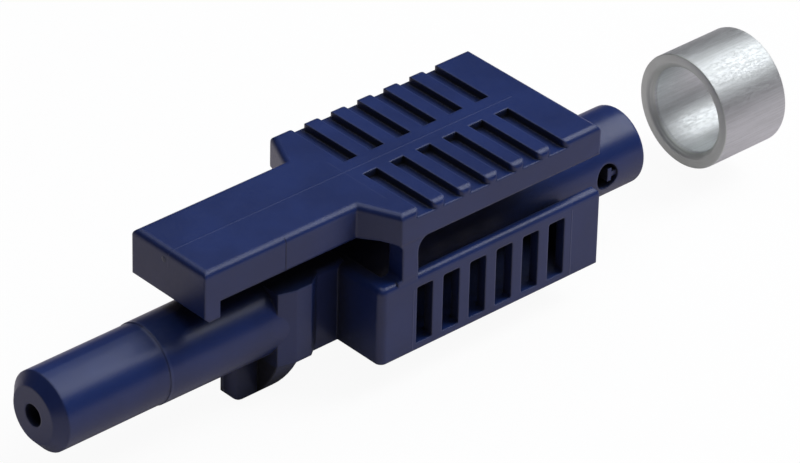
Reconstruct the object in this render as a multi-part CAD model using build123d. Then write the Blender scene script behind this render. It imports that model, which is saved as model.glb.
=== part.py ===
from build123d import *
from math import sqrt
import os

# A latching connector for one plastic optical fibre, with its loose crimp ring.
# The connector is one moulding: ferrule, barb, keel, neck, housing, cable tube and a latch lever
# that rocks on two thin pillars. The lever is a node of its own because it moves.
# Sizes are millimetres. X runs from the ferrule's tip to the cable end, Y is sideways and Z is up.
# The origin is the centre of the tip's flat face, and the ferrule's axis is the X axis.

# Light path, from the tip to the cable end
fibre_bore_radius = 0.56
fibre_bore_length = 5.50
funnel_length = 0.80
jacket_bore_radius = 1.15

# Ferrule, and the shank behind the mould's step
ferrule_radius = 2.00
ferrule_length = 6.35
tip_face_radius = 1.42
tip_bevel_length = 0.50
tip_rounding = 0.15
shank_growth = 0.04
shank_draft = 0.04

# Barb block behind the shank
barb_setback = 12.78
barb_length = 1.84
barb_flare_length = 0.92
barb_front_half_width = 1.90
barb_rear_half_width = 2.18
barb_half_height = 1.98
barb_relief_length = 0.76

# Keel under the barb
keel_lead = 1.66
keel_half_width = 0.50
keel_depth = 4.10
keel_nose_rounding = 0.80
web_bulge = 0.12

# Neck between the barb and the housing
neck_half_width = 1.60
neck_rounding = 0.30

# Housing around the cable tube
housing_setback = 16.70
housing_length = 13.76
housing_half_width = 4.615
housing_depth = 2.30
housing_height = 1.84
side_wall = 0.55
end_wall = 0.80
floor_thickness = 0.36
rear_wall_top = -0.10
front_corner_radius = 0.36
lip_outer_rounding = 0.35
lip_inner_rounding = 0.16
lip_end_rounding = 0.22
base_rounding = 0.05

# Windows in the housing's side walls
window_count = 6
window_pitch = 1.67
window_width = 1.03
window_margin = 2.17
window_head = 0.67
window_corner_radius = 0.12

# Cable tube, its gripping tooth and the hole that shows it
tube_radius = 2.01
tube_reach = 5.65
tube_end_rounding = 0.20
tooth_hole_radius = 0.68
tooth_hole_inset = 2.53
tooth_setback = 0.24
tooth_width = 0.26
tooth_height = 0.70
tooth_depth = 0.70
tooth_recess = 0.12

# Latch lever
lever_top = 5.43
grip_thickness = 1.58
grip_setback = 0.10
beam_thickness = 1.74
beam_half_width = 2.56
hook_setback = 7.87
hook_thickness = 0.91
hook_drop = 0.89
hook_lead = 0.25
shoulder_setback = 0.22
shoulder_length = 0.95
roof_ramp_length = 0.50
lever_edge_rounding = 0.33

# Finger grooves across the grip
groove_count = 6
groove_pitch = 1.65
groove_length = 0.85
groove_depth = 0.40
groove_margin = 1.08
spine_half_width = 0.68
rib_corner_radius = 0.30

# Pillars that carry the lever
pillar_setback = 1.30
pillar_thickness = 0.93
pillar_width = 0.95
pillar_inset = 0.02
pillar_front_radius = 0.38
pillar_rear_radius = 0.72
pillar_root_radius = 0.25
pillar_overlap = 0.40
hinge_radius = 0.80
hinge_gap = 0.03

# Crimp ring
ring_outer_radius = 2.99
ring_inner_radius = 2.20
ring_length = 4.13
ring_gap = 4.50
ring_inner_chamfer = 0.30
ring_outer_chamfer = 0.10

# Two places closer than this are one and the same
same_place = 0.01

# The middle of a quarter arc lies this share of its radius inside the corner
arc_share = 1 - sqrt(0.5)

# Places that follow from the sizes above
shank_radius = ferrule_radius + shank_growth
barb_rear = barb_setback + barb_length
housing_rear = housing_setback + housing_length
tube_end = housing_rear + tube_reach
floor_top = floor_thickness - housing_depth
inner_half_width = housing_half_width - side_wall
grip_front = housing_setback + shoulder_setback + shoulder_length
grip_rear = housing_rear - grip_setback
grip_underside = lever_top - grip_thickness
beam_underside = lever_top - beam_thickness
hinge_x = housing_setback + pillar_setback + pillar_thickness / 2
hinge_z = (housing_height + grip_underside) / 2
ring_front = tube_end + ring_gap


def side_profile(points, half_width):
    """A closed outline in X and Z, extruded to both sides of the middle plane."""
    with BuildPart() as part:
        with BuildSketch(Plane.XZ):
            with BuildLine():
                Polyline(*points, close=True)
            make_face()
        extrude(amount=half_width, both=True)
    return part.part


def turned(points):
    """A closed outline of length and radius, turned about the X axis."""
    with BuildPart() as part:
        with BuildSketch(Plane.XZ):
            with BuildLine():
                Polyline(*points, close=True)
            make_face()
        revolve(axis=Axis.X)
    return part.part


def block(x_low, x_high, half_width, z_low, z_high):
    """A box across the middle plane."""
    size = (x_high - x_low, 2 * half_width, z_high - z_low)
    middle = ((x_low + x_high) / 2, 0, (z_low + z_high) / 2)
    return Pos(*middle) * Box(*size)


def ferrule():
    """Bevelled nose, then the slightly larger shank, which widens a little from the mould's step."""
    inside = barb_setback + barb_length / 2
    with BuildPart() as part:
        with BuildSketch(Plane.XZ):
            with BuildLine():
                Polyline(
                    (0, 0),
                    (0, tip_face_radius),
                    (tip_bevel_length, ferrule_radius),
                    (ferrule_length, ferrule_radius),
                    (ferrule_length, shank_radius),
                    (inside, shank_radius + shank_draft),
                    (inside, 0),
                    close=True,
                )
            nose = make_face()
            corners = nose.vertices().filter_by(
                lambda corner: corner.X < tip_bevel_length + same_place and corner.Z > same_place
            )
            fillet(corners, tip_rounding)
        revolve(axis=Axis.X)
    return part.part


def barb():
    """Block whose sides flare to the rear and run back in to the neck."""
    flare_end = barb_setback + barb_flare_length
    relief_end = barb_rear + barb_relief_length
    with BuildPart() as part:
        with BuildSketch(Plane.XY.offset(-barb_half_height)):
            with BuildLine():
                right = Polyline(
                    (barb_setback, 0),
                    (barb_setback, -barb_front_half_width),
                    (flare_end, -barb_rear_half_width),
                    (barb_rear, -barb_rear_half_width),
                    (relief_end, -neck_half_width),
                    (relief_end, 0),
                )
                mirror(right, about=Plane.XZ)
            make_face()
        extrude(amount=2 * barb_half_height)
    return part.part


def web_section(x, half_width):
    """Cross-section under the barb: its sides bulge a little on their way down to the keel."""
    low = -keel_depth
    high = -barb_half_height
    slope = Vector(half_width - keel_half_width, high - low)
    outward = Vector(slope.Y, -slope.X).normalized()
    middle = Vector((half_width + keel_half_width) / 2, (high + low) / 2) + outward * web_bulge
    with BuildSketch(Plane.YZ.offset(x)) as section:
        with BuildLine():
            Polyline((-keel_half_width, low), (keel_half_width, low))
            ThreePointArc((keel_half_width, low), (middle.X, middle.Y), (half_width, high))
            Polyline((half_width, high), (half_width, 0), (-half_width, 0), (-half_width, high))
            ThreePointArc((-half_width, high), (-middle.X, middle.Y), (-keel_half_width, low))
        make_face()
    return section.sketch


def keel():
    """Upright fin with a rounded nose, and the web that widens it up to the barb."""
    front = barb_setback - keel_lead
    web_end = barb_setback + barb_flare_length
    with BuildPart() as part:
        with BuildSketch(Plane.XY.offset(-keel_depth)):
            with BuildLine():
                Polyline((web_end, keel_half_width), (front + keel_half_width, keel_half_width))
                ThreePointArc(
                    (front + keel_half_width, keel_half_width),
                    (front, 0),
                    (front + keel_half_width, -keel_half_width),
                )
                Polyline(
                    (front + keel_half_width, -keel_half_width),
                    (web_end, -keel_half_width),
                    (web_end, keel_half_width),
                )
            make_face()
        extrude(amount=keel_depth)
    nose_cut = side_profile(
        [
            (front - keel_nose_rounding, -keel_depth - keel_nose_rounding),
            (front + keel_nose_rounding, -keel_depth - keel_nose_rounding),
            (front + keel_nose_rounding, -keel_depth + keel_nose_rounding),
            (front - keel_nose_rounding, -keel_depth + keel_nose_rounding),
        ],
        2 * keel_half_width,
    )
    centre = (front + keel_nose_rounding, 0, keel_nose_rounding - keel_depth)
    nose_round = Pos(*centre) * Rot(90, 0, 0) * Cylinder(keel_nose_rounding, 4 * keel_half_width)
    fin = part.part - (nose_cut - nose_round)
    front_section = web_section(barb_setback, barb_front_half_width)
    rear_section = web_section(web_end, barb_rear_half_width)
    web = loft([front_section.face(), rear_section.face()], ruled=True)
    return fin + web


def neck():
    """Block that joins the barb to the housing's front wall."""
    blank = block(
        barb_rear - barb_length / 2,
        housing_setback + end_wall / 2,
        neck_half_width,
        -housing_depth,
        barb_half_height,
    )
    return fillet(blank.edges().filter_by(Axis.X).group_by(Axis.Z)[-1], neck_rounding)


def lip_end_cut():
    """Cutter that rounds the rear ends of the side walls' lips."""
    corner = block(
        housing_rear - lip_end_rounding,
        housing_rear + lip_end_rounding,
        2 * housing_half_width,
        housing_height - lip_end_rounding,
        housing_height + lip_end_rounding,
    )
    centre = (housing_rear - lip_end_rounding, 0, housing_height - lip_end_rounding)
    return corner - Pos(*centre) * Rot(90, 0, 0) * Cylinder(lip_end_rounding, 4 * housing_half_width)


def housing():
    """Open trough with a front wall, a low rear wall and rounded lips."""
    front = housing_setback + end_wall
    with BuildPart() as trough:
        with BuildSketch(Plane.YZ.offset(front)):
            with BuildLine():
                right = Polyline(
                    (0, -housing_depth),
                    (housing_half_width, -housing_depth),
                    (housing_half_width, housing_height),
                    (inner_half_width, housing_height),
                    (inner_half_width, floor_top),
                    (0, floor_top),
                )
                mirror(right, about=Plane.YZ)
            make_face()
        extrude(amount=housing_length - end_wall)
        lips = trough.edges().filter_by(Axis.X).group_by(Axis.Z)[-1].sort_by(Axis.Y)
        fillet([lips[0], lips[-1]], lip_outer_rounding)
        lips = trough.edges().filter_by(Axis.X).group_by(Axis.Z)[-1].sort_by(Axis.Y)
        inner_lips = [edge for edge in lips if abs(abs(edge.center().Y) - inner_half_width) < same_place]
        fillet(inner_lips, lip_inner_rounding)
        base = trough.edges().filter_by(Axis.X).group_by(Axis.Z)[0]
        fillet(base, base_rounding)
    blank = block(housing_setback, front, housing_half_width, -housing_depth, housing_height)
    blank = fillet(blank.edges().filter_by(Axis.Z).group_by(Axis.X)[0], front_corner_radius)
    top_edges = blank.edges().group_by(Axis.Z)[-1]
    top_edges = [edge for edge in top_edges if edge.center().X < front - same_place]
    blank = fillet(top_edges, lip_outer_rounding)
    base_edges = blank.edges().group_by(Axis.Z)[0]
    base_edges = [edge for edge in base_edges if edge.center().X < front - same_place]
    blank = fillet(base_edges, base_rounding)
    rear_wall = block(housing_rear - end_wall, housing_rear, inner_half_width, floor_top, rear_wall_top)
    return (trough.part - lip_end_cut()) + blank + rear_wall


def windows():
    """The row of upright windows, cut through both side walls."""
    sill = floor_top
    head = housing_height - window_head
    first = housing_setback + window_margin + window_width / 2
    with BuildPart() as part:
        with BuildSketch(Plane.XZ):
            for number in range(window_count):
                with Locations((first + number * window_pitch, (sill + head) / 2)):
                    RectangleRounded(window_width, head - sill, window_corner_radius)
        extrude(amount=2 * housing_half_width, both=True)
    return part.part


def cable_tube():
    """Tube that runs from the front wall to the cable end, with a rounded end."""
    start = housing_setback + end_wall / 2
    blank = Pos((start + tube_end) / 2, 0, 0) * Rot(0, 90, 0) * Cylinder(tube_radius, tube_end - start)
    return fillet(blank.edges().group_by(Axis.X)[-1], tube_end_rounding)


def light_path():
    """Fibre bore, funnel and jacket bore as one turned cutter."""
    funnel_end = fibre_bore_length + funnel_length
    beyond = tube_end + ring_gap
    return turned(
        [
            (-fibre_bore_radius, 0),
            (-fibre_bore_radius, fibre_bore_radius),
            (fibre_bore_length, fibre_bore_radius),
            (funnel_end, jacket_bore_radius),
            (beyond, jacket_bore_radius),
            (beyond, 0),
        ]
    )


def tooth_holes():
    """Round hole through both sides of the cable tube."""
    middle = (tube_end - tooth_hole_inset, 0, 0)
    return Pos(*middle) * Rot(90, 0, 0) * Cylinder(tooth_hole_radius, 4 * tube_radius)


def grip_teeth():
    """A small T-shaped tooth in each hole, held on the hole's rear side."""
    middle = tube_end - tooth_hole_inset + tooth_setback
    outer = tube_radius - tooth_recess
    inner = max(outer - tooth_depth, jacket_bore_radius)
    stem_length = tooth_hole_radius + tube_end_rounding
    stem = Pos(middle + stem_length / 2, 0, 0) * Box(stem_length, outer - inner, tooth_width)
    bar = Pos(middle, 0, 0) * Box(tooth_width, outer - inner, tooth_height)
    tooth = stem + bar
    centre = (outer + inner) / 2
    return (Pos(0, -centre, 0) * tooth) + (Pos(0, centre, 0) * tooth)


def pillar_arc_drop():
    """How far below the hinge the split arc meets the pillar's faces."""
    return sqrt(hinge_radius**2 - (pillar_thickness / 2) ** 2)


def both_sides(profile_face, inset):
    """An upright face in X and Z, extruded from the pillar's inner face to near each side."""
    inner = housing_half_width - pillar_inset - pillar_width
    pillar = extrude(Plane.XZ.offset(inner).location * profile_face, housing_half_width - inset - inner)
    return pillar + mirror(pillar, about=Plane.XZ)


def pillar_roots():
    """Short stubs on the side walls, joined to the front wall and hollowed to the lever's turning arc."""
    wall = housing_setback + end_wall / 2
    front = hinge_x - pillar_thickness / 2
    rear = hinge_x + pillar_thickness / 2
    base = floor_top
    top = hinge_z - pillar_arc_drop()
    bend = pillar_root_radius * arc_share
    with BuildSketch() as outline:
        with BuildLine():
            Polyline((front - pillar_root_radius, base), (front - pillar_root_radius, housing_height))
            ThreePointArc(
                (front - pillar_root_radius, housing_height),
                (front - bend, housing_height + bend),
                (front, housing_height + pillar_root_radius),
            )
            Polyline(
                (front, housing_height + pillar_root_radius),
                (front, top),
                (rear, top),
                (rear, base),
                (front - pillar_root_radius, base),
            )
        make_face()
    with BuildSketch() as joint:
        with BuildLine():
            Polyline(
                (wall, base),
                (wall, housing_height),
                (front, housing_height),
                (front, base),
                close=True,
            )
        make_face()
    stubs = both_sides(outline.sketch, pillar_inset) + both_sides(joint.sketch, lip_outer_rounding)
    seat = Rot(90, 0, 0) * Cylinder(hinge_radius + hinge_gap, 4 * housing_half_width)
    return stubs - Pos(hinge_x, 0, hinge_z) * seat


def lever_pillars():
    """Upper parts of the pillars, round-ended on the turning arc."""
    front = hinge_x - pillar_thickness / 2
    rear = hinge_x + pillar_thickness / 2
    low = hinge_z - pillar_arc_drop()
    high = grip_underside + pillar_overlap
    front_bend = pillar_front_radius * arc_share
    rear_bend = pillar_rear_radius * arc_share
    with BuildSketch() as outline:
        with BuildLine():
            Polyline((front, low), (front, grip_underside - pillar_front_radius))
            ThreePointArc(
                (front, grip_underside - pillar_front_radius),
                (front - front_bend, grip_underside - front_bend),
                (front - pillar_front_radius, grip_underside),
            )
            Polyline(
                (front - pillar_front_radius, grip_underside),
                (front - pillar_front_radius, high),
                (rear + pillar_rear_radius, high),
                (rear + pillar_rear_radius, grip_underside),
            )
            ThreePointArc(
                (rear + pillar_rear_radius, grip_underside),
                (rear + rear_bend, grip_underside - rear_bend),
                (rear, grip_underside - pillar_rear_radius),
            )
            Polyline((rear, grip_underside - pillar_rear_radius), (rear, low))
            ThreePointArc((rear, low), (hinge_x, hinge_z - hinge_radius), (front, low))
        make_face()
    return both_sides(outline.sketch, pillar_inset) & lever_plan()


def connector_body():
    """Everything of the moulding that stays still."""
    body = ferrule() + barb() + keel() + neck()
    body = body + (housing() - windows()) + cable_tube() + pillar_roots()
    body = body - tooth_holes() - light_path()
    return body + grip_teeth()


def lever_plan():
    """The lever's outline from above, made tall: beam, shoulder and grip."""
    shoulder = grip_front - shoulder_length
    with BuildPart() as plan:
        with BuildSketch():
            with BuildLine():
                right = Polyline(
                    (hook_setback, 0),
                    (hook_setback, -beam_half_width),
                    (shoulder, -beam_half_width),
                    (grip_front, -housing_half_width),
                    (grip_rear, -housing_half_width),
                    (grip_rear, 0),
                )
                mirror(right, about=Plane.XZ)
            make_face()
        extrude(amount=lever_top)
    return plan.part


def lever_blank():
    """The outline from above, cut to the outline from the side, with its top rim rounded."""
    shoulder = grip_front - shoulder_length
    hook_rear = hook_setback + hook_thickness
    side = side_profile(
        [
            (hook_setback, beam_underside - hook_drop + hook_lead),
            (hook_setback + hook_lead, beam_underside - hook_drop),
            (hook_rear, beam_underside - hook_drop),
            (hook_rear, beam_underside),
            (shoulder, beam_underside),
            (shoulder + roof_ramp_length, grip_underside),
            (grip_rear, grip_underside),
            (grip_rear, lever_top),
            (hook_setback, lever_top),
        ],
        2 * housing_half_width,
    )
    blank = lever_plan() & side
    return fillet(blank.edges().group_by(Axis.Z)[-1], lever_edge_rounding)


def groove():
    """One groove from the spine out through the grip's side, flared where the ribs are rounded."""
    inner = -spine_half_width
    outer = -housing_half_width
    bend_start = outer + rib_corner_radius
    outside = outer - rib_corner_radius
    half = groove_length / 2
    wide = half + rib_corner_radius
    bend = rib_corner_radius * arc_share
    with BuildPart() as part:
        with BuildSketch(Plane.XY.offset(lever_top - groove_depth)):
            with BuildLine():
                Polyline((half, bend_start), (half, inner), (-half, inner), (-half, bend_start))
                ThreePointArc((-half, bend_start), (-half - bend, outer + bend), (-wide, outer))
                Polyline((-wide, outer), (-wide, outside), (wide, outside), (wide, outer))
                ThreePointArc((wide, outer), (half + bend, outer + bend), (half, bend_start))
            make_face()
        extrude(amount=2 * groove_depth)
    return part.part + mirror(part.part, about=Plane.XZ)


def finger_grooves():
    """The row of grooves on both sides of the spine."""
    first = grip_front + groove_margin + groove_length / 2
    return [Pos(first + number * groove_pitch, 0, 0) * groove() for number in range(groove_count)]


def latch_lever():
    """Hook, beam, grooved grip and the pillars that it rocks on."""
    return lever_blank() - finger_grooves() + lever_pillars()


def crimp_ring():
    """Short open tube, chamfered inside and out at both ends."""
    ring_rear = ring_front + ring_length
    return turned(
        [
            (ring_front, ring_inner_radius + ring_inner_chamfer),
            (ring_front, ring_outer_radius - ring_outer_chamfer),
            (ring_front + ring_outer_chamfer, ring_outer_radius),
            (ring_rear - ring_outer_chamfer, ring_outer_radius),
            (ring_rear, ring_outer_radius - ring_outer_chamfer),
            (ring_rear, ring_inner_radius + ring_inner_chamfer),
            (ring_rear - ring_inner_chamfer, ring_inner_radius),
            (ring_front + ring_inner_chamfer, ring_inner_radius),
        ]
    )


nodes = {
    "connector_body": connector_body(),
    "latch_lever": latch_lever(),
    "crimp_ring": crimp_ring(),
}

os.makedirs("parts", exist_ok=True)
for name, solid in nodes.items():
    export_step(solid, f"parts/{name}.step")
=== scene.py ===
"""Looks of a latching connector for plastic optical fibre: its finishes, mould detail and studio."""
import logging
from dataclasses import dataclass
from enum import Enum
from math import copysign, cos, pi, radians, sin

import bmesh
import bpy
from mathutils import Matrix, Vector


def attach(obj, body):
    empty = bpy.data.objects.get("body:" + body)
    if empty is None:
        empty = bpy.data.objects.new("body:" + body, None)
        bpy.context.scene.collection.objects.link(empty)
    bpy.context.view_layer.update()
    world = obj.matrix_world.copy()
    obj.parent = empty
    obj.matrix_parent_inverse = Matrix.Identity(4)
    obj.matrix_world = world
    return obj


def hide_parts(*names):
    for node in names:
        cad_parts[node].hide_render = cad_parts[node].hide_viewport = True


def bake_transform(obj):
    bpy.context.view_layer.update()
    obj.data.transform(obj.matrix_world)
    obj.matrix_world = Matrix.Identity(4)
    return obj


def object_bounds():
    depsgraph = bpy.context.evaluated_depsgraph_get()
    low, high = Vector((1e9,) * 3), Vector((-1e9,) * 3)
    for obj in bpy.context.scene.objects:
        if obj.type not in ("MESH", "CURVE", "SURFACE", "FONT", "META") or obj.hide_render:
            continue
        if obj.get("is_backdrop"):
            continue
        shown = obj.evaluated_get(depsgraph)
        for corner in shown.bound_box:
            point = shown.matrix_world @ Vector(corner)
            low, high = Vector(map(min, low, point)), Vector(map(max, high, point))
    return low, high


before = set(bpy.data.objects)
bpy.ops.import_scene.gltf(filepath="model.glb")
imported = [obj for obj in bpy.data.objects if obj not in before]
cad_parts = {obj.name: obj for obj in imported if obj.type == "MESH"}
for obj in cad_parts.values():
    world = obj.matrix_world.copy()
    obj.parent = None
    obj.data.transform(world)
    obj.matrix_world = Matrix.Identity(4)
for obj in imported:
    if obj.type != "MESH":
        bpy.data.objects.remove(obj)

log = logging.getLogger("connector")

MM = 0.001
IMAGE_WIDTH = 800
NOISE_ROUGHNESS = 0.55
SHARP_ANGLE = radians(40)
DOUBLES_DISTANCE = 0.0001 * MM
LEVER_EDGE_RADIUS = 0.16 * MM
WHOLE = (0.0, 1.0)
EVENLY = Vector((1, 1, 1))

Colour = tuple[float, float, float]
Triple = tuple[float, float, float]
Range = tuple[float, float]
Socket = bpy.types.NodeSocket


class Body(Enum):
    """The bodies that pieces ride on."""

    CONNECTOR = "connector"
    LEVER = "lever"
    RING = "ring"


class Slot(Enum):
    """The record's material slots."""

    PLASTIC = "moulded_plastic"
    RING_METAL = "ring_metal"


class Side(Enum):
    """The two sides of the upright middle plane."""

    NEAR = -1
    FAR = 1


class Axis(Enum):
    """The part's own axes."""

    LENGTH = "X"
    WIDTH = "Y"
    HEIGHT = "Z"


class LineForm(Enum):
    """The two forms of hair line that a mould leaves."""

    RIDGE = "ridge"
    STEP = "step"


class Corner(Enum):
    """What a bevel rounds: the corners of a section, or the edges of a solid."""

    OF_SECTION = "VERTICES"
    OF_SOLID = "EDGES"


def linear(colour: Colour) -> tuple[float, float, float, float]:
    """Turn a screen colour into the linear one that the shaders take.

    Args:
        colour: red, green and blue from 0 to 255, as a screen shows them.

    Returns:
        Linear red, green, blue and an alpha of 1.
    """
    shares = [part / 255 for part in colour]
    return (*[s / 12.92 if s <= 0.04045 else ((s + 0.055) / 1.055) ** 2.4 for s in shares], 1.0)


class NodeSheet:
    """The node tree of a new material or world, with short calls for adding and joining nodes."""

    def __init__(self, owner: bpy.types.Material | bpy.types.World) -> None:
        """Start with nothing but the output node.

        Args:
            owner: the new material or world.
        """
        self.owner = owner
        owner.use_nodes = True
        self.tree = owner.node_tree
        self.tree.nodes.clear()
        kind = "World" if isinstance(owner, bpy.types.World) else "Material"
        self.output = self.add("Output" + kind)

    def add(self, kind: str, settings: dict | None = None, **values: object) -> bpy.types.Node:
        """Add a node.

        Args:
            kind: the node's type, without the words ShaderNode.
            settings: properties of the node itself.
            **values: values of its input sockets, with spaces written as underscores.

        Returns:
            The new node.
        """
        node = self.tree.nodes.new("ShaderNode" + kind)
        for name, value in (settings or {}).items():
            setattr(node, name, value)
        for name, value in values.items():
            node.inputs[name.replace("_", " ")].default_value = value
        return node

    def join(self, start: Socket, end: Socket) -> None:
        """Join an output socket to an input socket."""
        self.tree.links.new(start, end)

    def finish(self, surface: Socket) -> bpy.types.Material | bpy.types.World:
        """Join the finished surface to the output.

        Args:
            surface: the shader's output socket.

        Returns:
            The material or world.
        """
        self.join(surface, self.output.inputs["Surface"])
        return self.owner

    def object_place(self) -> Socket:
        """The point's place in the part's own frame."""
        return self.add("TexCoord").outputs["Object"]

    def places(self) -> dict[Axis, Socket]:
        """The point's place along each of the part's own axes.

        Returns:
            One socket for each axis.
        """
        split = self.add("SeparateXYZ")
        self.join(self.object_place(), split.inputs[0])
        return {axis: split.outputs[axis.value] for axis in Axis}

    def compute(self, operation: str, *parts: Socket | float, clamp: bool = False) -> Socket:
        """Add one step of arithmetic.

        Args:
            operation: the step's name, such as MULTIPLY.
            *parts: sockets or plain numbers that go into it.
            clamp: whether the result is held between 0 and 1.

        Returns:
            The result's socket.
        """
        node = self.add("Math", {"operation": operation, "use_clamp": clamp})
        for number, part in enumerate(parts):
            if isinstance(part, Socket):
                self.join(part, node.inputs[number])
            else:
                node.inputs[number].default_value = part
        return node.outputs[0]

    def spread(self, value: Socket, start: Range, end: Range) -> Socket:
        """Turn one range of values smoothly into another.

        Args:
            value: the value to turn.
            start: its lowest and highest value.
            end: the values that those two become.

        Returns:
            The new value's socket.
        """
        node = self.add("MapRange", {"interpolation_type": "SMOOTHSTEP"})
        self.join(value, node.inputs["Value"])
        for name, number in zip(("From Min", "From Max", "To Min", "To Max"), (*start, *end)):
            node.inputs[name].default_value = number
        return node.outputs[0]

    def mix(self, share: Socket, first: Socket | Colour, second: Colour) -> Socket:
        """Mix two colours.

        Args:
            share: how much of the second colour shows, from 0 to 1.
            first: a screen colour, or the socket of a colour made before.
            second: a screen colour.

        Returns:
            The mixed colour's socket.
        """
        node = self.add("MixRGB", Color2=linear(second))
        self.join(share, node.inputs["Fac"])
        if isinstance(first, Socket):
            self.join(first, node.inputs["Color1"])
        else:
            node.inputs["Color1"].default_value = linear(first)
        return node.outputs[0]

    def cloud(self, size: Vector, detail: float) -> Socket:
        """Add a cloudy pattern in the part's own frame.

        Args:
            size: about how large its patches are along X, Y and Z, in metres.
            detail: how many finer layers it has.

        Returns:
            The pattern's socket, from 0 to 1.
        """
        turn = self.add("Mapping")
        turn.inputs["Scale"].default_value = [1 / length for length in size]
        self.join(self.object_place(), turn.inputs["Vector"])
        noise = self.add("TexNoise", Scale=1.0, Detail=detail, Roughness=NOISE_ROUGHNESS)
        self.join(turn.outputs[0], noise.inputs["Vector"])
        return noise.outputs["Fac"]

    def relief(
        self, height: Socket, depth: float, before: Socket | None, sunk: bool = False
    ) -> Socket:
        """Raise or sink the surface by a pattern.

        Args:
            height: the pattern, from 0 to 1.
            depth: how far it moves the surface at 1, in metres.
            before: the surface's direction so far, if an earlier step changed it.
            sunk: whether the pattern lies below the surface.

        Returns:
            The surface's new direction.
        """
        bump = self.add("Bump", {"invert": sunk}, Strength=1.0, Distance=depth)
        self.join(height, bump.inputs["Height"])
        if before is not None:
            self.join(before, bump.inputs["Normal"])
        return bump.outputs["Normal"]


@dataclass(frozen=True)
class MouldLine:
    """Hair line that the mould leaves where two of its blocks meet, in millimetres."""

    axis: Axis
    place: float
    limits: tuple[tuple[Axis, float, float], ...] = ()
    form: LineForm = LineForm.RIDGE
    share: float = 1.0
    half_width: float = 0.05

    def strength(self, sheet: NodeSheet, places: dict[Axis, Socket]) -> Socket:
        """Work out how strongly the line shows at a point.

        Args:
            sheet: the finish that the line is part of.
            places: the point's place along each axis.

        Returns:
            A socket that is the line's share on the line and 0 away from it.
        """
        offset = sheet.compute("SUBTRACT", places[self.axis], self.place * MM)
        distance = sheet.compute("ABSOLUTE", offset)
        shown = sheet.spread(distance, (0.0, self.half_width * MM), (self.share, 0.0))
        for axis, low, high in self.limits:
            above = sheet.compute("GREATER_THAN", places[axis], low * MM)
            below = sheet.compute("LESS_THAN", places[axis], high * MM)
            shown = sheet.compute("MULTIPLY", shown, sheet.compute("MULTIPLY", above, below))
        return shown


BODY_LINES = (
    # Ridge at the ferrule's mould step: it gets the painted highlight and no painted shade.
    MouldLine(Axis.LENGTH, 6.35, half_width=0.20),
    MouldLine(Axis.LENGTH, 18.70, ((Axis.WIDTH, -4.7, -4.5), (Axis.HEIGHT, -2.2, 1.1))),
    MouldLine(Axis.LENGTH, 28.72, ((Axis.WIDTH, -4.7, -4.5), (Axis.HEIGHT, -2.2, 1.4))),
    MouldLine(Axis.LENGTH, 18.70, ((Axis.WIDTH, 4.5, 4.7), (Axis.HEIGHT, -2.2, 1.1))),
    MouldLine(Axis.LENGTH, 28.72, ((Axis.WIDTH, 4.5, 4.7), (Axis.HEIGHT, -2.2, 1.4))),
    MouldLine(Axis.LENGTH, 12.78, ((Axis.HEIGHT, -4.2, -2.1),), LineForm.STEP),
    MouldLine(Axis.WIDTH, 0.0, ((Axis.HEIGHT, -4.2, -2.0),)),
)
LEVER_LINES = (
    MouldLine(Axis.WIDTH, 0.0, ((Axis.HEIGHT, 4.6, 5.5), (Axis.LENGTH, 7.8, 28.9)), share=0.6),
    MouldLine(Axis.LENGTH, 18.38, ((Axis.HEIGHT, 5.2, 5.5), (Axis.WIDTH, -2.9, 1.2)), share=0.3),
    MouldLine(Axis.LENGTH, 12.66, ((Axis.WIDTH, -2.7, -2.4),), LineForm.STEP),
    MouldLine(Axis.LENGTH, 12.66, ((Axis.WIDTH, 2.4, 2.7),), LineForm.STEP),
)


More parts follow.
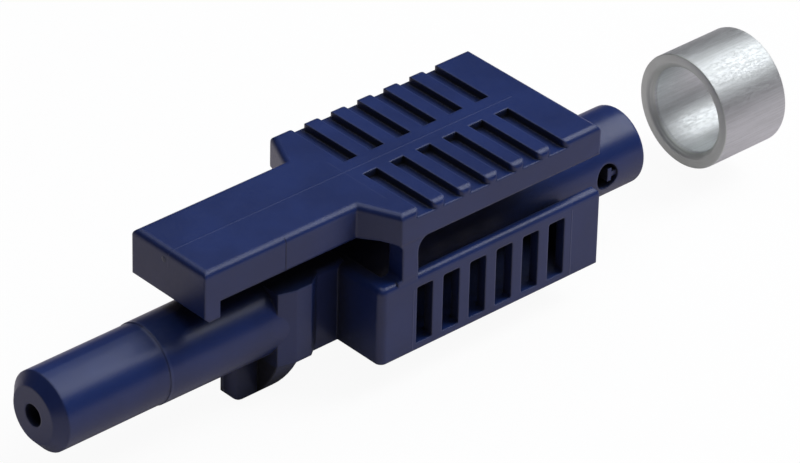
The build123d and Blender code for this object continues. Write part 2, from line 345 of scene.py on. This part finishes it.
@dataclass(frozen=True)
class MouldedPlastic:
    """Dark blue satin plastic: softened edges and mould lines, painted highlights on edges and ridges,
    painted shade in recesses, faint clouds, fine grain.
    """

    name: str = "moulded_plastic"
    colour: Colour = (20, 40, 92)
    pale_colour: Colour = (26, 47, 103)
    # Painted highlight colour, mixed onto edges and raised mould ridges.
    highlight_colour: Colour = (74, 86, 128)
    step_colour: Colour = (6, 6, 18)
    ridge_highlight_share: float = 0.30
    line_depth: float = 0.012 * MM
    step_share: float = 0.75
    edge_highlight_share: float = 0.45
    edge_radius: float = 0.14 * MM
    edge_agreement: Range = (0.80, 0.985)
    edge_samples: int = 6
    # Painted shade: deep in recesses the colour is cut to this share.
    recess_shade_share: float = 0.08
    recess_roughness: float = 1.0
    recess_depth: float = 2.2 * MM
    recess_openness: Range = (0.30, 0.74)
    recess_samples: int = 6
    cavity_depth: float = 6.0 * MM
    cavity_openness: Range = (0.20, 0.60)
    glossy_from: float = 0.9
    smooth_roughness: float = 0.29
    dull_roughness: float = 0.37
    specular: float = 0.68
    contrast: Range = (0.3, 0.7)
    cloud_size: float = 3.2 * MM
    cloud_detail: float = 3.0
    ripple_size: float = 1.3 * MM
    ripple_stretch: float = 1.6
    ripple_detail: float = 1.0
    ripple_depth: float = 0.003 * MM
    grain_size: float = 0.13 * MM
    grain_detail: float = 2.0
    grain_depth: float = 0.0006 * MM
    lines: tuple[MouldLine, ...] = ()

    def all_lines(self, sheet: NodeSheet, form: LineForm) -> Socket:
        """Join the mould's lines of one form into one pattern.

        Args:
            sheet: the finish being built.
            form: which lines.

        Returns:
            The strongest line's strength at each point.
        """
        places = sheet.places()
        shown = sheet.compute("ADD", 0.0, 0.0)
        for line in self.lines:
            if line.form is form:
                shown = sheet.compute("MAXIMUM", shown, line.strength(sheet, places))
        return shown

    def softened_edges(self, sheet: NodeSheet) -> tuple[Socket, Socket]:
        """Round sharp edges a little, and find where they are, for the painted highlight.

        Args:
            sheet: the finish being built.

        Returns:
            The softened surface direction, and a pattern that is 1 on edges.
        """
        soft = sheet.add("Bevel", {"samples": self.edge_samples}, Radius=self.edge_radius)
        true = sheet.add("NewGeometry")
        agree = sheet.add("VectorMath", {"operation": "DOT_PRODUCT"})
        sheet.join(soft.outputs[0], agree.inputs[0])
        sheet.join(true.outputs["Normal"], agree.inputs[1])
        edges = sheet.spread(agree.outputs["Value"], self.edge_agreement, (1.0, 0.0))
        return soft.outputs[0], edges

    def recesses(self, sheet: NodeSheet) -> Socket:
        """Find slots, holes, inner corners and the housing's inside, where shade is painted into the
        plastic's colour.

        Narrow recesses count the solid's own walls alone. The housing's inside counts every piece,
        because the lever covers it, so the lever's shade is painted there too.

        Args:
            sheet: the finish being built.

        Returns:
            A pattern that is 1 on open surfaces and 0 deep in recesses.
        """
        patterns = []
        for own_walls_only, depth, openness in (
            (True, self.recess_depth, self.recess_openness),
            (False, self.cavity_depth, self.cavity_openness),
        ):
            settings = {"samples": self.recess_samples, "only_local": own_walls_only}
            nearby = sheet.add("AmbientOcclusion", settings, Distance=depth)
            patterns.append(sheet.spread(nearby.outputs["AO"], openness, WHOLE))
        return sheet.compute("MINIMUM", *patterns)

    def material(self) -> bpy.types.Material:
        """Build the finish.

        Returns:
            The plastic's material.
        """
        sheet = NodeSheet(bpy.data.materials.new(self.name))
        clouds = sheet.cloud(EVENLY * self.cloud_size, self.cloud_detail)
        stretched = Vector((self.ripple_stretch, 1, 1))
        ripples = sheet.cloud(stretched * self.ripple_size, self.ripple_detail)
        grain = sheet.cloud(EVENLY * self.grain_size, self.grain_detail)
        ridges = self.all_lines(sheet, LineForm.RIDGE)
        steps = self.all_lines(sheet, LineForm.STEP)
        direction, edges = self.softened_edges(sheet)

        # Painted highlight: edges and raised mould ridges are lightened towards the highlight colour.
        paler = sheet.compute(
            "MAXIMUM",
            sheet.compute("MULTIPLY", ridges, self.ridge_highlight_share),
            sheet.compute("MULTIPLY", edges, self.edge_highlight_share),
        )
        darker = sheet.compute("MULTIPLY", steps, self.step_share)
        body = sheet.mix(sheet.spread(clouds, self.contrast, WHOLE), self.colour, self.pale_colour)
        edged = sheet.mix(paler, body, self.highlight_colour)
        marked = sheet.mix(darker, edged, self.step_colour)
        # Painted shade: the colour is darkened where walls close round the surface; raised mould ridges
        # are kept clear of it.
        openness = sheet.compute("MAXIMUM", self.recesses(sheet), ridges)
        shaded = sheet.add("VectorMath", {"operation": "SCALE"})
        sheet.join(marked, shaded.inputs[0])
        brightness = sheet.spread(openness, WHOLE, (self.recess_shade_share, 1.0))
        sheet.join(brightness, shaded.inputs["Scale"])
        dullness = sheet.compute(
            "MAXIMUM",
            sheet.spread(grain, self.contrast, (self.smooth_roughness, self.dull_roughness)),
            sheet.spread(openness, (0.0, self.glossy_from), (self.recess_roughness, 0.0)),
        )

        direction = sheet.relief(ridges, self.line_depth, direction)
        direction = sheet.relief(steps, self.line_depth, direction, sunk=True)
        direction = sheet.relief(ripples, self.ripple_depth, direction)
        direction = sheet.relief(grain, self.grain_depth, direction)
        shader = sheet.add("BsdfPrincipled", Specular_IOR_Level=self.specular)
        sheet.join(shaded.outputs[0], shader.inputs["Base Color"])
        sheet.join(dullness, shader.inputs["Roughness"])
        sheet.join(direction, shader.inputs["Normal"])
        return sheet.finish(shader.outputs["BSDF"])


@dataclass(frozen=True)
class TornPlastic(MouldedPlastic):
    """The same plastic where it was torn off the mould's inlet: paler, duller, with crisp edges."""

    name: str = "moulded_plastic_torn"
    colour: Colour = (54, 66, 90)
    pale_colour: Colour = (64, 76, 98)
    edge_highlight_share: float = 0.0
    edge_radius: float = 0.02 * MM
    smooth_roughness: float = 0.33
    dull_roughness: float = 0.42


@dataclass(frozen=True)
class DrawnAluminium:
    """Bright satin aluminium tube wall, with fine drawing lines, small scuffs and slight waviness."""

    name: str = "drawn_aluminium"
    colour: Colour = (234, 238, 238)
    dull_colour: Colour = (225, 229, 228)
    smooth_roughness: float = 0.455
    dull_roughness: float = 0.60
    contrast: Range = (0.35, 0.65)
    streak_size: Triple = (2.5 * MM, 0.09 * MM, 0.09 * MM)
    streak_detail: float = 2.0
    streak_depth: float = 0.0008 * MM
    scuff_size: Triple = (0.22 * MM, 0.11 * MM, 0.11 * MM)
    scuff_detail: float = 3.0
    scuff_depth: float = 0.0028 * MM
    wave_size: Triple = (2.4 * MM, 1.3 * MM, 1.3 * MM)
    wave_detail: float = 1.0
    wave_depth: float = 0.012 * MM

    def material(self) -> bpy.types.Material:
        """Build the finish.

        Returns:
            The metal's material.
        """
        sheet = NodeSheet(bpy.data.materials.new(self.name))
        streaks = sheet.cloud(Vector(self.streak_size), self.streak_detail)
        scuffs = sheet.cloud(Vector(self.scuff_size), self.scuff_detail)
        waves = sheet.cloud(Vector(self.wave_size), self.wave_detail)
        streaky = sheet.spread(streaks, self.contrast, WHOLE)
        roughness = (self.smooth_roughness, self.dull_roughness)
        direction = sheet.relief(waves, self.wave_depth, None)
        direction = sheet.relief(streaks, self.streak_depth, direction)
        direction = sheet.relief(scuffs, self.scuff_depth, direction)
        shader = sheet.add("BsdfPrincipled", Metallic=1.0)
        tone = sheet.mix(streaky, self.colour, self.dull_colour)
        sheet.join(tone, shader.inputs["Base Color"])
        sheet.join(sheet.spread(scuffs, self.contrast, roughness), shader.inputs["Roughness"])
        sheet.join(direction, shader.inputs["Normal"])
        return sheet.finish(shader.outputs["BSDF"])


@dataclass(frozen=True)
class CutAluminium:
    """Matte grey sawn and turned end of the ring, with fine rings round the axis."""

    name: str = "cut_aluminium"
    colour: Colour = (236, 242, 236)
    dull_colour: Colour = (216, 222, 214)
    roughness: float = 0.55
    pitch: float = 0.11 * MM
    ring_depth: float = 0.004 * MM
    waver_size: float = 1.5 * MM
    waver_detail: float = 2.0
    waver_angle: float = 4.0

    def material(self) -> bpy.types.Material:
        """Build the finish.

        Returns:
            The cut metal's material.
        """
        sheet = NodeSheet(bpy.data.materials.new(self.name))
        places = sheet.places()
        across = [
            sheet.compute("MULTIPLY", places[axis], places[axis])
            for axis in (Axis.WIDTH, Axis.HEIGHT)
        ]
        radius = sheet.compute("SQRT", sheet.compute("ADD", *across))
        waver = sheet.cloud(EVENLY * self.waver_size, self.waver_detail)
        angle = sheet.compute(
            "ADD",
            sheet.compute("MULTIPLY", radius, 2 * pi / self.pitch),
            sheet.compute("MULTIPLY", waver, self.waver_angle),
        )
        rings = sheet.spread(sheet.compute("SINE", angle), (-1.0, 1.0), WHOLE)
        shader = sheet.add("BsdfPrincipled", Metallic=1.0, Roughness=self.roughness)
        tone = sheet.mix(waver, self.colour, self.dull_colour)
        sheet.join(tone, shader.inputs["Base Color"])
        sheet.join(sheet.relief(rings, self.ring_depth, None), shader.inputs["Normal"])
        return sheet.finish(shader.outputs["BSDF"])


def soften(
    bm: bmesh.types.BMesh, corners: list, softening: float, steps: int, kind: Corner
) -> None:
    """Round some corners.

    Args:
        bm: the mesh that they are part of.
        corners: the vertices or edges to round.
        softening: how far from the corner the rounding starts, in the mesh's units.
        steps: how many steps the rounding has.
        kind: whether the corners are vertices or edges.
    """
    bmesh.ops.bevel(
        bm,
        geom=corners,
        offset=softening,
        offset_type="OFFSET",
        segments=steps,
        profile=0.5,
        affect=kind.value,
        material=-1,
    )


def new_piece(
    name: str, bm: bmesh.types.BMesh, materials: list[bpy.types.Material]
) -> bpy.types.Object:
    """Turn a finished bmesh into a smooth piece whose place is in its mesh.

    Args:
        name: the piece's name.
        bm: its shape in metres, freed here.
        materials: its finishes.

    Returns:
        The new object.
    """
    bmesh.ops.remove_doubles(bm, verts=bm.verts, dist=DOUBLES_DISTANCE)
    bmesh.ops.recalc_face_normals(bm, faces=bm.faces)
    mesh = bpy.data.meshes.new(name)
    bm.to_mesh(mesh)
    bm.free()
    mesh.shade_smooth()
    mesh.set_sharp_from_angle(angle=SHARP_ANGLE)
    for material in materials:
        mesh.materials.append(material)
    piece = bpy.data.objects.new(name, mesh)
    bpy.context.scene.collection.objects.link(piece)
    log.info("%s: %d faces", name, len(mesh.polygons))
    return piece


@dataclass
class CrimpRing:
    """The loose ring: a short tube, cut square, with softened edges. Sizes are millimetres."""

    front: float = 40.61
    length: float = 4.13
    outer_radius: float = 2.99
    inner_radius: float = 2.20
    inner_chamfer: float = 0.30
    outer_softening: float = 0.07
    inner_softening: float = 0.12
    softening_steps: int = 4
    steps: int = 128
    end_facing: float = 0.5

    def outline(self, bm: bmesh.types.BMesh) -> list[bmesh.types.BMEdge]:
        """Draw the ring's wall in section and soften its corners.

        Args:
            bm: the mesh being built.

        Returns:
            The section's edges.
        """
        rear = self.front + self.length
        mouth = self.inner_radius + self.inner_chamfer
        corners = (
            (self.front, mouth),
            (self.front, self.outer_radius),
            (rear, self.outer_radius),
            (rear, mouth),
            (rear - self.inner_chamfer, self.inner_radius),
            (self.front + self.inner_chamfer, self.inner_radius),
        )
        verts = [bm.verts.new(Vector((x, 0, z)) * MM) for x, z in corners]
        bm.faces.new(verts)
        outer, inner = verts[1:3], verts[:1] + verts[3:]
        for chosen, softening in ((outer, self.outer_softening), (inner, self.inner_softening)):
            soften(bm, chosen, softening * MM, self.softening_steps, Corner.OF_SECTION)
        bmesh.ops.delete(bm, geom=list(bm.faces), context="FACES_ONLY")
        return list(bm.edges)

    def build(self, wall: bpy.types.Material, ends: bpy.types.Material) -> None:
        """Spin the section, dress its walls and cut ends, and let it ride.

        Args:
            wall: finish of the tube's walls.
            ends: finish of the cut ends.
        """
        bm = bmesh.new()
        edges = self.outline(bm)
        bmesh.ops.spin(
            bm,
            geom=edges + list(bm.verts),
            cent=(0, 0, 0),
            axis=(1, 0, 0),
            angle=2 * pi,
            steps=self.steps,
            use_merge=True,
        )
        bm.normal_update()
        for face in bm.faces:
            face.material_index = int(abs(face.normal.x) > self.end_facing)
        ring = new_piece("crimp_ring_turned", bm, [wall, ends])
        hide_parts("crimp_ring")
        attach(ring, Body.RING.value)


@dataclass
class PillarSleeve:
    """Thin skins round the pillars, where the real ones flex. Sizes are millimetres."""

    hinge_x: float = 18.465
    thickness: float = 0.93
    outer: float = 4.595
    width: float = 0.95
    proud: float = 0.012
    sunk: float = 0.02
    levels: tuple[float, ...] = (
        1.60, 1.90, 1.98, 2.04, 2.08, 2.12, 2.16, 2.20, 2.24, 2.30, 2.45, 3.00, 3.40,
    )
    full_from: float = 1.95
    full_to: float = 2.40
    bend_start: float = 2.03
    bend_end: float = 2.22

    def growth(self, level: float) -> float:
        """How far the skin stands out of the pillar at a height; below 0 it is sunk into it.

        Args:
            level: the height.

        Returns:
            The distance, full along the split and least at the skin's two ends.
        """
        if level < self.full_from:
            share = (level - self.levels[0]) / (self.full_from - self.levels[0])
        elif level > self.full_to:
            share = (self.levels[-1] - level) / (self.levels[-1] - self.full_to)
        else:
            share = 1.0
        return (self.proud + self.sunk) * share - self.sunk

    def place(self, loop: list[bmesh.types.BMVert], middle: Vector, level: float) -> None:
        """Move one level's corners to their size and height.

        Args:
            loop: the level's four corners, each on its own side of the middle line.
            middle: the pillar's middle line.
            level: the height.
        """
        growth = self.growth(level)
        for vert in loop:
            x = copysign(self.thickness / 2 + growth, vert.co.x - middle.x * MM)
            y = copysign(self.width / 2 + growth, vert.co.y - middle.y * MM)
            vert.co = (middle + Vector((x, y, level))) * MM

    def build_side(self, side: Side, plastic: bpy.types.Material) -> None:
        """Make one pillar's skin.

        Args:
            side: which pillar.
            plastic: the skin's finish.
        """
        middle = Vector((self.hinge_x, side.value * (self.outer - self.width / 2), 0))
        start = Matrix.Translation(middle * MM)
        bm = bmesh.new()
        grid = bmesh.ops.create_grid(bm, x_segments=1, y_segments=1, size=MM, matrix=start)
        bmesh.ops.delete(bm, geom=list(bm.faces), context="FACES_ONLY")
        self.place(grid["verts"], middle, self.levels[0])
        edges = list(bm.edges)
        for level in self.levels[1:]:
            grown = bmesh.ops.extrude_edge_only(bm, edges=edges)["geom"]
            loop = [part for part in grown if isinstance(part, bmesh.types.BMVert)]
            edges = [part for part in grown if isinstance(part, bmesh.types.BMEdge)]
            self.place(loop, middle, level)
        skin = new_piece(f"pillar_skin_{side.name.lower()}", bm, [plastic])
        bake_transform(skin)

    def build(self, plastic: bpy.types.Material) -> None:
        """Make both skins.

        Args:
            plastic: their finish.
        """
        for side in Side:
            self.build_side(side, plastic)


@dataclass
class GateMark:
    """Low torn stub on the lever's nose, where the plastic came in. Sizes are millimetres."""

    place: Triple = (7.87, 0.30, 4.89)
    radius: float = 0.22
    top_radius: float = 0.10
    height: float = 0.025
    sunk: float = 0.02
    softening: float = 0.01
    softening_steps: int = 2
    tilt: float = radians(4)
    steps: int = 20

    def build(self, plastic: bpy.types.Material) -> None:
        """Make the stub and let it ride on the lever.

        Args:
            plastic: its finish.
        """
        bm = bmesh.new()
        bmesh.ops.create_cone(
            bm,
            cap_ends=True,
            cap_tris=False,
            segments=self.steps,
            radius1=self.radius,
            radius2=self.top_radius,
            depth=self.height + self.sunk,
        )
        top = [vert for vert in bm.verts if vert.co.z > 0]
        tilt = Matrix.Rotation(self.tilt, 3, "X")
        bmesh.ops.rotate(bm, verts=top, cent=(0, 0, self.height / 2), matrix=tilt)
        rim = [edge for edge in bm.edges if all(vert in top for vert in edge.verts)]
        soften(bm, rim, self.softening, self.softening_steps, Corner.OF_SOLID)
        bmesh.ops.translate(bm, verts=bm.verts, vec=(0, 0, (self.height - self.sunk) / 2))
        forward = Matrix.Rotation(-pi / 2, 3, "Y")
        bmesh.ops.rotate(bm, verts=bm.verts, cent=(0, 0, 0), matrix=forward)
        bmesh.ops.translate(bm, verts=bm.verts, vec=self.place)
        bmesh.ops.scale(bm, verts=bm.verts, vec=(MM, MM, MM))
        stub = new_piece("gate_mark", bm, [plastic])
        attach(stub, Body.LEVER.value)


@dataclass(frozen=True)
class Lamp:
    """Rectangular soft light that faces down, or towards the part. Sizes are metres."""

    name: str
    centre: Triple
    size: tuple[float, float]
    brightness: float
    aimed: bool = False
    colour: Colour = (250, 252, 255)
    mirrored: bool = True

    def hang(self) -> None:
        """Hang the light in its place."""
        lamp = bpy.data.lights.new(self.name, "AREA")
        lamp.shape = "RECTANGLE"
        lamp.size, lamp.size_y = self.size
        lamp.energy = self.brightness * pi * self.size[0] * self.size[1]
        lamp.color = linear(self.colour)[:3]
        light = bpy.data.objects.new(self.name, lamp)
        light.location = self.centre
        if self.aimed:
            light.rotation_euler = Vector(self.centre).to_track_quat("Z", "Y").to_euler()
        light.visible_glossy = self.mirrored
        bpy.context.scene.collection.objects.link(light)
        log.info("%s: hung", self.name)


@dataclass
class Studio:
    """Pale floor, soft box over the cable end, wide dull one overhead, fill light and dim room."""

    floor_size: float = 6.0
    floor_drop: float = 0.05 * MM
    floor_colour: Colour = (185, 174, 180)
    backdrop_colour: Colour = (255, 255, 255)
    white_share: float = 0.94
    reflected_share: float = 0.11
    room_reflected_share: float = 0.025
    room_colour: Colour = (56, 51, 58)
    lamps: tuple[Lamp, ...] = (
        Lamp("soft_box", (0.315, -0.055, 0.26), (0.23, 0.33), 2.7),
        Lamp("wide_box", (0.045, 0.010, 0.27), (0.31, 0.48), 0.82),
        Lamp("fill", (0.33, -0.18, 0.46), (0.25, 0.25), 8.4, aimed=True, mirrored=False),
    )

    def backdrop_share(self, sheet: NodeSheet, reflected: float) -> Socket:
        """How much of the white backdrop a ray finds.

        Args:
            sheet: the floor's or the room's nodes.
            reflected: the share that reflections find.

        Returns:
            A socket that is 1 straight from the camera and less in reflections.
        """
        rays = sheet.add("LightPath")
        mirrored = sheet.compute(
            "ADD", rays.outputs["Is Glossy Ray"], rays.outputs["Is Transmission Ray"]
        )
        dimmed = sheet.compute("MULTIPLY", mirrored, reflected)
        return sheet.compute("ADD", rays.outputs["Is Camera Ray"], dimmed, clamp=True)

    def floor_material(self) -> bpy.types.Material:
        """Pale floor that renders almost white behind the part and keeps the part's shadow.

        Returns:
            The floor's material.
        """
        sheet = NodeSheet(bpy.data.materials.new("studio_floor"))
        seen = self.backdrop_share(sheet, self.reflected_share)
        share = sheet.compute("MULTIPLY", seen, self.white_share)
        pale = sheet.add("BsdfDiffuse")
        tone = sheet.mix(seen, self.floor_colour, self.backdrop_colour)
        sheet.join(tone, pale.inputs["Color"])
        white = sheet.add("Emission", Strength=1.0)
        mix = sheet.add("MixShader")
        sheet.join(share, mix.inputs[0])
        sheet.join(pale.outputs[0], mix.inputs[1])
        sheet.join(white.outputs[0], mix.inputs[2])
        return sheet.finish(mix.outputs[0])

    def lay_floor(self, height: float) -> None:
        """Lay the floor just under the part.

        Args:
            height: the part's lowest point, in metres.
        """
        bm = bmesh.new()
        bmesh.ops.create_grid(bm, x_segments=1, y_segments=1, size=self.floor_size / 2)
        bmesh.ops.translate(bm, verts=bm.verts, vec=(0, 0, height - self.floor_drop))
        mesh = bpy.data.meshes.new("studio_floor")
        bm.to_mesh(mesh)
        bm.free()
        floor = bpy.data.objects.new("studio_floor", mesh)
        bpy.context.scene.collection.objects.link(floor)
        floor.data.materials.append(self.floor_material())
        floor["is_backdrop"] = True

    def dim_room(self) -> None:
        """Give the room dim, even light and a white backdrop that shows faintly in reflections."""
        sheet = NodeSheet(bpy.data.worlds.new("room"))
        seen = self.backdrop_share(sheet, self.room_reflected_share)
        room = sheet.add("Background", Strength=1.0)
        tone = sheet.mix(seen, self.room_colour, self.backdrop_colour)
        sheet.join(tone, room.inputs["Color"])
        bpy.context.scene.world = sheet.finish(room.outputs[0])

    def build(self) -> None:
        """Set up floor, lights, room and colour handling."""
        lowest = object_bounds()[0][2]
        self.lay_floor(lowest)
        for lamp in self.lamps:
            lamp.hang()
        self.dim_room()
        bpy.context.scene.view_settings.view_transform = "Standard"
        log.info("studio: floor at %.2f mm", lowest / MM)


@dataclass
class PhotographCamera:
    """Camera at the photograph's place, with its long lens."""

    place: Triple = (-120.997 * MM, -155.495 * MM, 136.099 * MM)
    azimuth: float = radians(-42.599)
    elevation: float = radians(32.659)
    roll: float = radians(1.430)
    focal_pixels: float = 5345.1
    sensor_width: float = 36.0
    nearest: float = 0.01
    farthest: float = 20.0

    def build(self) -> None:
        """Make the camera and hand it to the scene."""
        back = Vector(
            (
                sin(self.azimuth) * cos(self.elevation),
                -cos(self.azimuth) * cos(self.elevation),
                sin(self.elevation),
            )
        )
        level = Vector((cos(self.azimuth), sin(self.azimuth), 0.0))
        upright = back.cross(level)
        right = level * cos(self.roll) + upright * sin(self.roll)
        up = upright * cos(self.roll) - level * sin(self.roll)
        turn = Matrix((right, up, back)).transposed().to_4x4()
        lens = bpy.data.cameras.new("photograph_camera")
        lens.sensor_width = self.sensor_width
        lens.lens = self.focal_pixels * self.sensor_width / IMAGE_WIDTH
        lens.clip_start = self.nearest
        lens.clip_end = self.farthest
        camera = bpy.data.objects.new("photograph_camera", lens)
        camera.matrix_world = Matrix.Translation(self.place) @ turn
        bpy.context.scene.collection.objects.link(camera)
        bpy.context.scene.camera = camera
        log.info("camera: lens of %.1f mm", lens.lens)


def dress(node: str, material: bpy.types.Material) -> None:
    """Give a solid its finish.

    Args:
        node: the solid's name.
        material: its finish.
    """
    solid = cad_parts[node]
    solid.data.materials.clear()
    solid.data.materials.append(material)
    log.info("%s: %s", node, material.name)


def main() -> None:
    """Build everything in order."""
    logging.basicConfig(level=logging.INFO, format="%(name)s: %(message)s")
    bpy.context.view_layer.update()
    PhotographCamera().build()
    body = MouldedPlastic(name="moulded_plastic_body", lines=BODY_LINES)
    lever = MouldedPlastic(
        name="moulded_plastic_lever", lines=LEVER_LINES, edge_radius=LEVER_EDGE_RADIUS
    )
    dress("connector_body", body.material())
    dress("latch_lever", lever.material())
    PillarSleeve().build(MouldedPlastic(name="moulded_plastic_pillar").material())
    GateMark().build(TornPlastic().material())
    CrimpRing().build(DrawnAluminium().material(), CutAluminium().material())
    Studio().build()


if __name__ == "__main__":
    main()
